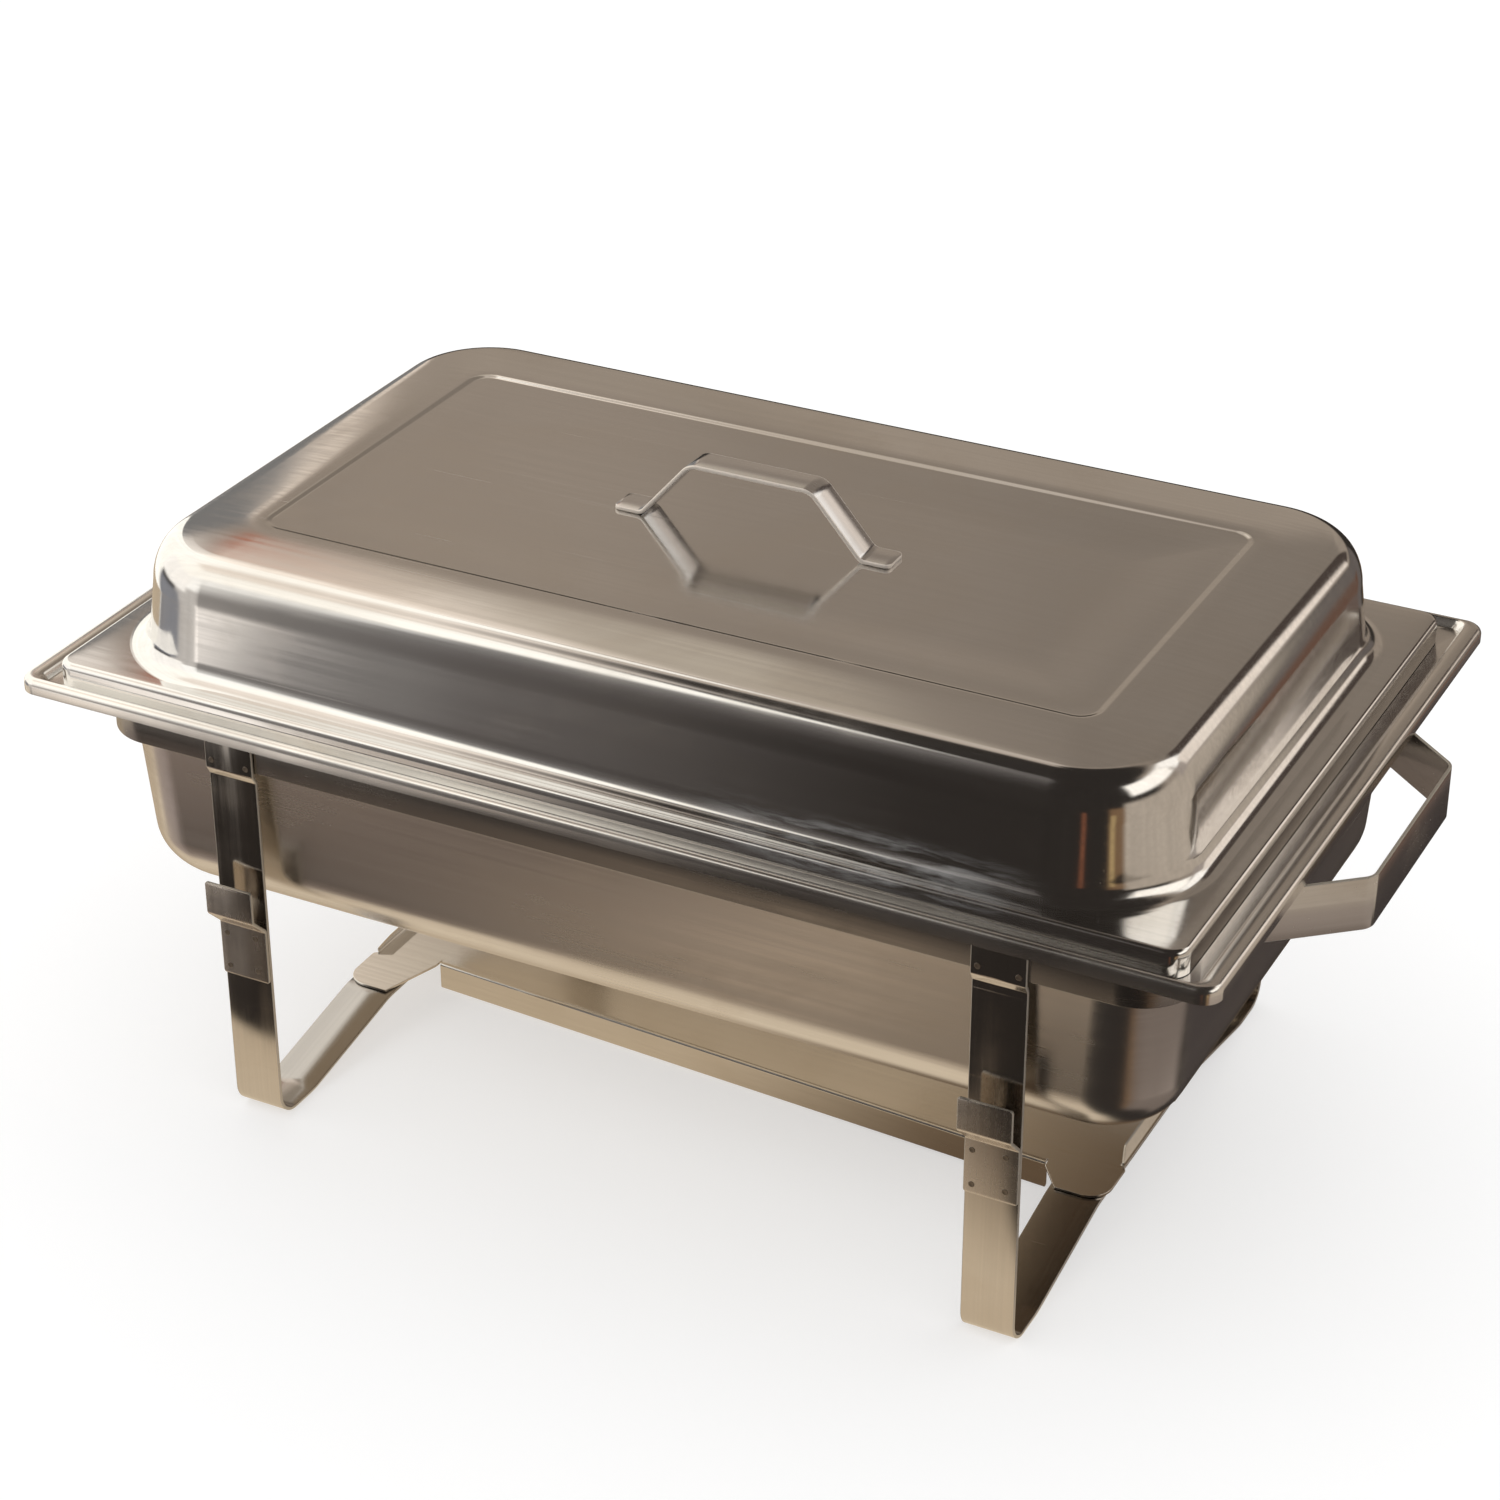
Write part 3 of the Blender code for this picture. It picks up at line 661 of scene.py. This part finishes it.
def build_food_pan(material):
    """Gastronorm 1/1 pan hanging by its rim on the water pan ledge."""
    hx, hy = (FOOD_HI.x - FOOD_LO.x) / 2, (FOOD_HI.y - FOOD_LO.y) / 2
    well_hx, well_hy, well_r = hx - 17.0, hy - 21.0, 45.0
    z = FOOD_HI.z - SHEET  # underside of the rim
    turn = 3.0
    profile = well(well_hx, well_hy, well_r, z - turn, FOOD_LO.z, fillet=14.0, taper=4.0, r_share=0.6)
    for u, v in arc(turn, z - turn, turn, 165, 90, 8):
        profile.append((well_hx + u, well_hy + u, well_r - u, v))
    edge, rim_r = 1.8, 8.0
    x0, y0 = hx - SHEET, hy - SHEET
    for u, v in arc(-edge, z - edge, edge, 90, 0, 8):
        profile.append((x0 + u, y0 + u, rim_r - SHEET + u, v))
    profile.append((x0, y0, rim_r - SHEET, LEDGE_Z + CLEARANCE))
    bm = pressed_sheet(profile, SHEET, PAN_X, LID_Y)
    return mesh_object(bm, "food_pan_pressing", material, "food_pan", "food_pan", angle=40.0)


# ---------------------------------------------------------------- lid

DOME_TOP = LID_HI.z - SHEET  # lower face of the highest part, the border round the panel
PANEL_HX, PANEL_HY, PANEL_R = 200.0, 95.5, 10.0
PANEL_DROP = LID_HI.z - KNOB_LO.z + 0.05  # from the border down to just under the feet of the lid handle
PANEL_STEP, PANEL_EDGE = 0.65, 3.8  # height and width of the step at the edge of the panel
PANEL_BOWL = 42.0  # width of the slope inside the step
PANEL_INSET = 2.0  # how far inside PANEL_HX the step begins
BORDER_START = 4.6  # how far outside PANEL_HX the border begins
PANEL_STEPS, BORDER_STEPS = 8, 8  # rings in each slope
FLANGE_RISE = 11.7  # height of the flange over the lower edge of the skirt


def panel_profile():
    """Lower face of the panel, outwards: a wide shallow slope, then the step up at the panel's edge."""
    low = DOME_TOP - PANEL_DROP
    bowl_rise = PANEL_DROP - PANEL_STEP
    slope = (-PANEL_INSET - PANEL_BOWL, PANEL_BOWL, low, bowl_rise)
    step = (-PANEL_INSET, PANEL_EDGE, low + bowl_rise, PANEL_STEP)
    points = []
    for (start, width, base, rise), first in ((slope, 0), (step, 1)):
        for i in range(first, PANEL_STEPS + 1):
            s = i / PANEL_STEPS
            out = start + width * s
            eased = 0.5 - 0.5 * math.cos(math.pi * s)
            points.append((PANEL_HX + out, PANEL_HY + out, PANEL_R + max(out, -PANEL_INSET),
                           base + rise * eased))
    return points


def border_profile(x1, y1, r1, z1):
    """Gently falling border from the panel's edge to the first point of the shoulder, both left out."""
    x0, y0, r0 = PANEL_HX + BORDER_START, PANEL_HY + BORDER_START, PANEL_R + BORDER_START
    points = []
    for i in range(1, BORDER_STEPS):
        s = i / BORDER_STEPS
        fall = (DOME_TOP - z1) * s ** 1.25
        points.append((x0 + (x1 - x0) * s, y0 + (y1 - y0) * s, r0 + (r1 - r0) * s, DOME_TOP - fall))
    return points


def build_lid(material):
    """Domed lid: recessed panel, crowned border, wall, flat flange and turned-down skirt."""
    hx, hy, hr = (LID_HI.x - LID_LO.x) / 2, (LID_HI.y - LID_LO.y) / 2, 9.0
    dome_hx, dome_hy, dome_r = hx - 18.7, hy - 15.1, 50.0
    fillet, drop, crown, lean = 15.0, 21.0, 1.6, 3.0  # shoulder: reach, height; border's fall; wall's lean
    cove, edge = 11.0, 2.2  # radii at the foot of the wall and at the edge of the flange
    r_share = 0.9  # how much of the shoulder's reach the corner radius follows
    flange_z = LID_LO.z + FLANGE_RISE - SHEET
    x0, y0, r0 = dome_hx - lean - SHEET, dome_hy - lean - SHEET, dome_r - lean - SHEET
    shoulder = [(u, DOME_TOP - crown - drop + v * drop / fillet)
                for u, v in arc(-fillet, 0.0, fillet, 84, 4, 26)]
    u, v = shoulder[0]
    profile = panel_profile() + border_profile(x0 + u, y0 + u, r0 + u * r_share, v)
    for u, v in shoulder:
        profile.append((x0 + u, y0 + u, r0 + u * r_share, v))
    x0, y0, r0 = dome_hx - SHEET, dome_hy - SHEET, dome_r - SHEET
    for u, v in arc(cove, flange_z + cove, cove, 184, 270, 16):
        profile.append((x0 + u, y0 + u, r0 + u, v))
    x0, y0, r0 = hx - SHEET, hy - SHEET, hr - SHEET
    for u, v in arc(-edge, flange_z - edge, edge, 90, 0, 10):
        profile.append((x0 + u, y0 + u, r0 + u, v))
    profile.append((x0, y0, r0, LID_LO.z))
    bm = pressed_sheet(profile, SHEET, PAN_X, LID_Y)
    return mesh_object(bm, "lid_shell_pressing", material, "lid", "lid_shell", angle=45.0)


def build_lid_handle(material):
    """Trapezoid grip of flat strip with round-cornered feet lying on the lid panel."""
    thick = 2.0
    foot, slope_end = 14.0, 38.5  # from the handle's end to the foot of its slope and to the top of it
    z0, z1 = KNOB_LO.z + thick / 2, KNOB_HI.z - thick / 2
    tip = (KNOB_HI.x - KNOB_LO.x) / 2
    half = [(-tip, z0, 0), (-tip + foot, z0, 5.0), (-tip + slope_end, z1, 9.0)]
    corners = half + [(-x, z, r) for x, z, r in reversed(half)]
    bm = strip_body(corners, thick, KNOB_LO.y, KNOB_HI.y, lambda u, v, w: (PAN_X + u, w, v),
                    edge=0.7, tip=3.0)
    return mesh_object(bm, "lid_handle_strip", material, "lid", "lid_handle")


# ---------------------------------------------------------------- weld spots

SPOT_R, SPOT_STEPS = 1.5, 20
# Section of a spot from its edge to its middle: (share of the radius, height over the face).
SPOT_SECTION = ((1.0, 0.0), (0.92, 0.10), (0.75, 0.14), (0.55, 0.08), (0.3, 0.03))
SPOT_SUNK = 0.02  # how far a spot's edge is sunk into the face
LEG_SPOTS = ((-9.2, 189.4), (9.0, 189.0))  # (x from the leg's middle, z)
# (x from the leg's middle, z over the hook's lower end)
HOOK_SPOTS = ((-8.6, 4.5), (6.6, 5.4), (-8.8, 22.0), (6.4, 22.8))
TAB_SPOTS = (6.0, 19.0)  # z over the lower edge of the side handle
TAB_SPOT_IN = 7.0  # from the end of the tab


def weld_spot(bm, centre, normal):
    """Shallow dimple with a raised rim, standing on a face whose outward normal is given."""
    side = normal.orthogonal().normalized()
    other = normal.cross(side)
    rings = []
    for share, height in SPOT_SECTION:
        ring = []
        for i in range(SPOT_STEPS):
            a = 2 * math.pi * i / SPOT_STEPS
            out = (side * math.cos(a) + other * math.sin(a)) * (SPOT_R * share)
            ring.append(bm.verts.new(centre + out + normal * height))
        rings.append(ring)
    for a, b in zip(rings, rings[1:]):
        for i in range(SPOT_STEPS):
            j = (i + 1) % SPOT_STEPS
            bm.faces.new((a[i], a[j], b[j], b[i]))
    bm.faces.new(rings[0][::-1])
    bm.faces.new(rings[-1])


def weld_spots(name, body, material, spots):
    """One piece from all the spots given as (centre, outward unit normal)."""
    bm = bmesh.new()
    for centre, normal in spots:
        normal = Vector(normal)
        weld_spot(bm, Vector(centre) - normal * SPOT_SUNK, normal)
    return mesh_object(bm, name, material, body, None)


def build_welds(material):
    """Spot welds on the legs, the hooks and the side handle's tabs."""
    for side in ("left", "right"):
        lo, hi = box_mm(f"leg_frame_{side}")
        middle = (lo.x + hi.x) / 2
        spots = [((middle + dx, sign * LEG_HI.y, z), (0, sign, 0))
                 for sign in (-1, 1) for dx, z in LEG_SPOTS]
        weld_spots(f"weld_spots_leg_{side}", "stand", material, spots)
        for depth, sign in (("front", -1), ("rear", 1)):
            lo, hi = box_mm(f"leg_hook_{depth}_{side}")
            face = sign * (min(abs(lo.y), abs(hi.y)) + HOOK_T)
            spots = [((middle + dx, face, lo.z + dz), (0, sign, 0)) for dx, dz in HOOK_SPOTS]
            weld_spots(f"weld_spots_hook_{depth}_{side}", "stand", material, spots)
    tab_x = GRIP_LO.x + STRIP_T
    tab_y = GRIP_HI.y - TAB_SPOT_IN
    spots = [((tab_x, sign * tab_y, GRIP_LO.z + dz), (1, 0, 0))
             for sign in (-1, 1) for dz in TAB_SPOTS]
    weld_spots("weld_spots_side_handle", "stand", material, spots)


# ---------------------------------------------------------------- studio

def staged_plane(name, left, right, near, far, z):
    """Flat rectangle of the studio, in metres, without a material."""
    mesh = bpy.data.meshes.new(name)
    corners = [(left, near, z), (right, near, z), (right, far, z), (left, far, z)]
    mesh.from_pydata(corners, [], [(0, 1, 2, 3)])
    plane = bpy.data.objects.new(name, mesh)
    bpy.context.scene.collection.objects.link(plane)
    return plane


def build_floor():
    """Pale floor that the steel does not mirror."""
    size, drop = 12.0, 0.0003
    floor = staged_plane("floor", -size, size, -size, size, -drop)
    n = Nodes("pale_floor")
    grain = n.noise(n.stretched((3.0, 3.0, 3.0)), 1.0)
    n.link(n.mix(grain, (0.54, 0.54, 0.54), (0.56, 0.56, 0.56)), n.shader.inputs["Base Color"])
    n.shader.inputs["Emission Color"].default_value = (1.0, 1.0, 1.0, 1.0)
    n.shader.inputs["Emission Strength"].default_value = 0.50
    n.shader.inputs["Roughness"].default_value = 0.9
    n.shader.inputs["Specular IOR Level"].default_value = 0.1
    floor.data.materials.append(n.material)
    floor.visible_glossy = False


def linear(code):
    """Linear RGB of a six-digit sRGB colour code."""
    channels = [int(code[i:i + 2], 16) / 255 for i in (0, 2, 4)]
    return tuple(c / 12.92 if c <= 0.04045 else ((c + 0.055) / 1.055) ** 2.4 for c in channels)


# Room and soft cards of the studio, as mirrored by the steel. Each is (colour, turn from, turn to, height
# from, height to, softness of the turn, softness of the height), in degrees. The turn is 0 behind the object
# (+Y), 90 at its left (-X), 180 in front and -90 at its right. Later cards cover earlier ones; the first is
# the whole room.
ROOM = (
    ("2a2623", -200, 200, -90, 90, 1, 1),
    ("897d71", -75, 70, 7, 56, 20, 6),
    ("776d63", -60, 27, 24, 50, 14, 6),
    ("8f8376", 2, 36, 9, 22, 12, 4),
    ("a89d8e", 27, 40, 31, 45, 4, 3),
    ("ddcfc0", 34.0, 52, 31, 58, 4, 2),
    ("fff2e4", 38.3, 52, 33, 58, 1.5, 1.5),
    ("b4a89c", 28, 46, 44, 57, 4, 3),
    ("57524f", 112, 155, -28, 58, 10, 4),
    ("6e6a67", 112, 149, -28, 50, 4, 4),
    ("6f6259", 112, 156, -64, -37.4, 8, 2),
    ("50463f", 133.5, 143, -64, -37.4, 3, 2),
    ("a4917c", 146, 155, -64, -37.4, 6, 2),
    ("6e5640", -136, -118, -60, 10, 6, 6),
    ("6e4634", -161.5, -157.5, -30, 4, 3, 5),
    ("a08860", -134.5, -130, -28, -2, 2.5, 5),
    ("a39789", -121, -32, -34, 16, 6, 8),
    ("fff8ee", -110, -46, 26, 50, 8, 6),
    ("8a7e75", -121, -50, -44, -30, 10, 4),
    ("6c6159", -126, -30, -64, -42, 10, 4),
    ("958a81", -50, -28, 8, 34, 6, 6),
    ("5c5551", -31, -6, -28, 6, 2, 6),
    ("3a3432", -30, -4, -48, -27, 5, 3),
    ("5e463a", -28, -20, -27, -8, 3, 5),
    ("413833", -29, -12, 12, 40, 3, 4),
    ("fffaf0", 44, 142, 24, 57, 4, 3),
    ("e8dccf", 50, 122, 50, 62, 8, 6),
    ("a89b8e", 36, 64, 45, 63, 8, 6),
    ("fffaf0", 43, 84, -30, 57, 2, 4),
    ("b8b2ac", 113, 144, -26, 20, 5, 5),
    ("b5a89b", 141, 150, -27.0, -24.5, 3, 1),
    ("e6d6c4", 137, 142.5, -27.2, -24.5, 3, 1),
    ("f6eee6", 140.5, 144.6, -28, -13, 1.5, 5),
    ("fffcf6", 124, 143, 8, 34, 4, 6),
    ("f8f3ec", 80, 128, 0, 28, 6, 6),
    ("c9bba8", 80, 122, -34, -22, 8, 8),
    ("8c7f78", 76, 124, -55, -33, 8, 6),
    ("bdad95", 76, 124, -64, -54, 8, 4),
    ("7c7c80", 81, 119, -23, -5, 8, 8),
    ("706e6c", 37.5, 44.5, -20, 25.5, 0.8, 2),
    ("d2c3b4", 36.4, 37.8, 8, 24, 0.6, 3),
    ("9c6450", 37.2, 39.6, 28, 32, 0.8, 1),
    ("dcd2c8", 40.4, 45, 26, 32, 0.8, 1),
    ("f8f2ea", -46, -27, 24, 50, 5, 5),
    ("dccfc2", -36, -25, 10, 27, 3, 3),
    ("b0a18b", 60, 130, -90, -62, 12, 8),
)
ROOM_STRENGTH = 1.35
STREAKS = (ROOM_STRENGTH * 0.93, ROOM_STRENGTH * 1.06)  # dimmest and brightest streak in the room
STREAK_TURN, STREAK_HEIGHT = 0.22, 0.03  # streaks per degree; they run up and down
WOBBLE = 1.5  # degrees by which the edges of the cards wander
CALM_FROM, CALM_TO = 30.0, 45.0  # heights between which the wobble of the upper edges fades out
BACKDROP = (1.05, 1.05, 1.05)  # what the eye and the floor see


class World(Nodes):
    """Node tree of the world, with the same short ways as a material."""

    def __init__(self, name):
        world = bpy.data.worlds.new(name)
        bpy.context.scene.world = world
        world.use_nodes = True
        world.cycles.sampling_method = "NONE"
        self.tree = world.node_tree
        self.background = self.tree.nodes["Background"]
        self.place = self.tree.nodes.new("ShaderNodeTexCoord").outputs["Generated"]

    def joined(self, x, y):
        node = self.tree.nodes.new("ShaderNodeCombineXYZ")
        self.link(x, node.inputs["X"])
        self.link(y, node.inputs["Y"])
        return node.outputs["Vector"]

    def window(self, value, lo, hi, soft):
        """1 between lo and hi, falling to 0 over `soft` at both ends."""
        rise = self.ramp(value, lo - soft / 2, lo + soft / 2)
        fall = self.ramp(value, hi - soft / 2, hi + soft / 2, 1.0, 0.0)
        return self.math("MULTIPLY", rise, fall)


def build_world():
    """White to the eye and to the floor; the steel mirrors a dim warm room with soft cards around it."""
    n = World("studio")
    split = n.tree.nodes.new("ShaderNodeSeparateXYZ")
    n.link(n.place, split.inputs["Vector"])
    x, y, z = (split.outputs[axis] for axis in "XYZ")
    degree = 180.0 / math.pi
    turn = n.math("ARCTAN2", n.math("MULTIPLY", x, -1.0), y)
    turn = n.math("MULTIPLY", turn, degree)
    height = n.math("MULTIPLY", n.math("ARCSINE", z, 0.0), degree)
    wobble = n.math("MULTIPLY", n.math("SUBTRACT", n.noise(n.place, 3.0, detail=3.0), 0.5), WOBBLE)
    turn_soft = n.math("ADD", turn, wobble)
    wobble = n.math("MULTIPLY", wobble, n.ramp(height, CALM_FROM, CALM_TO, 1.0, 0.0))
    height_soft = n.math("ADD", height, wobble)
    colour = linear(ROOM[0][0])
    for code, t0, t1, h0, h1, soft_t, soft_h in ROOM[1:]:
        sideways = n.window(turn_soft, t0, t1, soft_t)
        upwards = n.window(height_soft, h0, h1, soft_h)
        colour = n.mix(n.math("MULTIPLY", sideways, upwards), colour, linear(code))
    streak_place = n.joined(n.math("MULTIPLY", turn, STREAK_TURN), n.math("MULTIPLY", height, STREAK_HEIGHT))
    streaks = n.noise(streak_place, 1.0, detail=2.0)
    scale = n.tree.nodes.new("ShaderNodeVectorMath")
    scale.operation = "SCALE"
    n.link(n.ramp(streaks, 0.25, 0.75, *STREAKS), scale.inputs["Scale"])
    n.link(colour, scale.inputs[0])
    light_path = n.tree.nodes.new("ShaderNodeLightPath")
    seen = n.mix(light_path.outputs["Is Glossy Ray"], BACKDROP, scale.outputs["Vector"])
    n.link(seen, n.background.inputs["Color"])


# Tan card, in metres. Its front edge is slanted and its right edge runs inwards ahead of CARD_BEND_Y. Under
# the object the card carries a painted shadow of the object, darker to the right. Each pair of places is
# where an edge fades or one colour turns into the next.
CARD_Z = -0.0002
CARD_SLANT, CARD_FRONT = 0.264, (-0.274, -0.262)
# Ahead of CARD_BEND_Y the right edge runs inwards; past it the card is clear and the dark room shows, a
# painted shadow of the pan.
CARD_BEND_Y, CARD_TAPER, CARD_SHADOW_EDGE = -0.153, 0.6, (0.235, 0.205)
CARD_NEAR_Y, CARD_SHADOW_Y, CARD_SHADOW_X = (-0.30, -0.18), (-0.14, -0.08), (-0.06, 0.12)


def card_shade(n, x, y):
    """Colour of the tan card at x, y: darker towards the front, paler through its middle, and a painted
    shadow under the object.
    """
    near = n.mix(n.ramp(y, *CARD_NEAR_Y), linear("6e5f50"), linear("c4b49d"))
    # Painted shadow of the object on the card, darker towards the right.
    shadowed = n.mix(n.ramp(x, *CARD_SHADOW_X), linear("ab9a83"), linear("5a4a3a"))
    return n.mix(n.ramp(y, *CARD_SHADOW_Y), near, shadowed)


def build_table_card():
    """Tan card on the floor that only the steel mirrors, with a painted shadow of the object on it."""
    card = staged_plane("tan_card", -0.9, 0.9, -0.75, 0.9, CARD_Z)
    n = Nodes("tan_card")
    split = n.tree.nodes.new("ShaderNodeSeparateXYZ")
    n.link(n.place, split.inputs["Vector"])
    x, y = split.outputs["X"], split.outputs["Y"]
    slanted = n.math("ADD", y, n.math("MULTIPLY", x, CARD_SLANT))
    front = n.ramp(slanted, *CARD_FRONT)
    # Past the right edge the card is clear: painted shadow of the pan at its front right.
    ahead = n.math("MINIMUM", n.math("ADD", y, -CARD_BEND_Y), 0.0)
    across = n.math("SUBTRACT", x, n.math("MULTIPLY", ahead, CARD_TAPER))
    side = n.ramp(across, *CARD_SHADOW_EDGE)
    shade = card_shade(n, x, y)
    n.tree.nodes.remove(n.shader)
    glow = n.tree.nodes.new("ShaderNodeEmission")
    clear = n.tree.nodes.new("ShaderNodeBsdfTransparent")
    either = n.tree.nodes.new("ShaderNodeMixShader")
    n.link(shade, glow.inputs["Color"])
    glow.inputs["Strength"].default_value = ROOM_STRENGTH
    n.link(n.math("MULTIPLY", front, side), either.inputs["Fac"])
    n.link(clear.outputs["BSDF"], either.inputs[1])
    n.link(glow.outputs["Emission"], either.inputs[2])
    n.link(either.outputs["Shader"], n.tree.nodes["Material Output"].inputs["Surface"])
    card.data.materials.append(n.material)
    card.visible_camera = False
    card.visible_diffuse = False
    card.visible_shadow = False


CAMERA_LENS, CAMERA_SENSOR = 84.93, 36.0  # both in mm
CAMERA_PLACE = (0.63417, -1.26751, 0.96233)  # in metres
CAMERA_RIGHT = Vector((0.88964133, 0.45665817, -0.00127012))
CAMERA_BACK = Vector((0.39909087, -0.77613339, 0.4882043))


def build_camera():
    """Camera given by where it stands, and by the directions of its right side and its back."""
    data = bpy.data.cameras.new("camera")
    data.lens = CAMERA_LENS
    data.sensor_width = CAMERA_SENSOR
    camera = bpy.data.objects.new("camera", data)
    bpy.context.scene.collection.objects.link(camera)
    up = CAMERA_BACK.cross(CAMERA_RIGHT)
    turn = Matrix((CAMERA_RIGHT, up, CAMERA_BACK)).transposed().to_4x4()
    camera.matrix_world = Matrix.Translation(CAMERA_PLACE) @ turn
    bpy.context.scene.camera = camera


def main():
    """Builds every piece, then the studio."""
    materials = make_materials()
    edge = materials["edge"]
    build_band(materials["band"])
    build_legs((materials["leg"], edge, materials["foot"]))
    build_hooks((materials["hook"], edge))
    build_side_handle((materials["side_handle"], edge))
    build_shelf(materials["shelf"])
    build_water_pan((materials["water_pan"], materials["rim"]))
    build_food_pan(materials["food_pan"])
    build_lid(materials["lid"])
    build_lid_handle((materials["lid_handle"], materials["knob_edge"]))
    build_welds(materials["weld"])
    build_floor()
    build_world()
    build_table_card()
    build_camera()
    bpy.context.scene.view_settings.view_transform = "Standard"


main()
